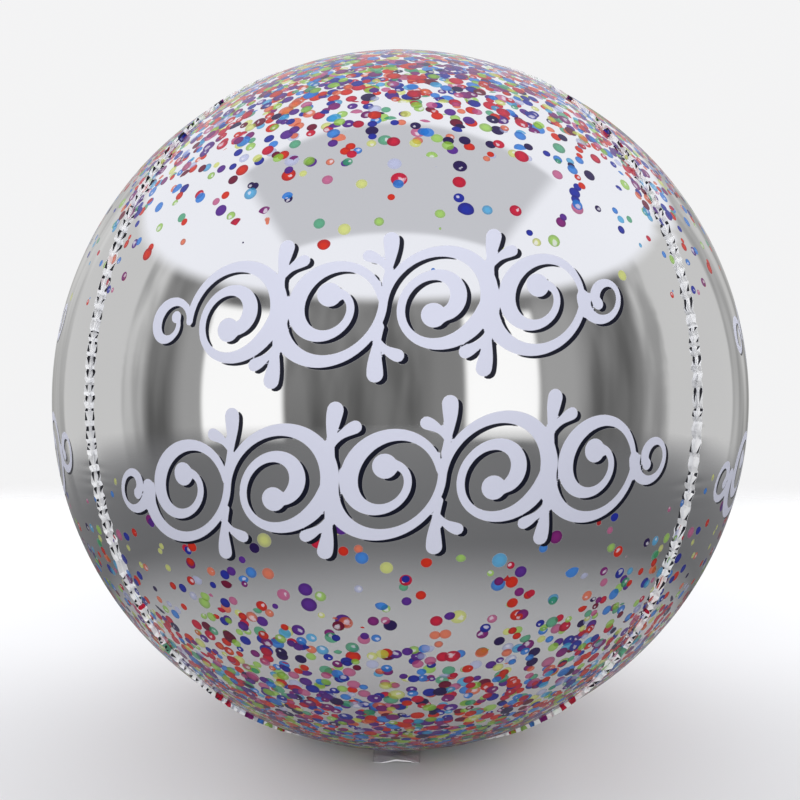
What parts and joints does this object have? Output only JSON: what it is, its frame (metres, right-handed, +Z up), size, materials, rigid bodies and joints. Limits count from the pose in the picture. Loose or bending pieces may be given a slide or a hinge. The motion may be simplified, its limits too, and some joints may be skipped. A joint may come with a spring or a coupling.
{
  "type": "foil sphere balloon",
  "caption": "Inflated silver foil sphere balloon of bulging gores with narrow welded seam flanges, printed with confetti, and a flat filling tail tucked under it.",
  "frame": {"origin": "middle of the underside, on the surface that the balloon rests on", "axes": "+Z up from the rest spot to the top tip; the front gore, with its whole print, faces -Y, and the filling tail points the same way; +X is to the right of someone who looks at the front"},
  "size_m": [0.4, 0.4, 0.398],
  "materials": {
    "silver_foil": "bright metallised foil film, printed with translucent confetti dots and pale scroll strokes",
    "tail_foil": "the same foil, unprinted, creased and slightly duller"
  },
  "bodies": {
    "root": {"envelope": "silver_foil", "inflation_tail": "tail_foil"}
  },
  "joints": []
}
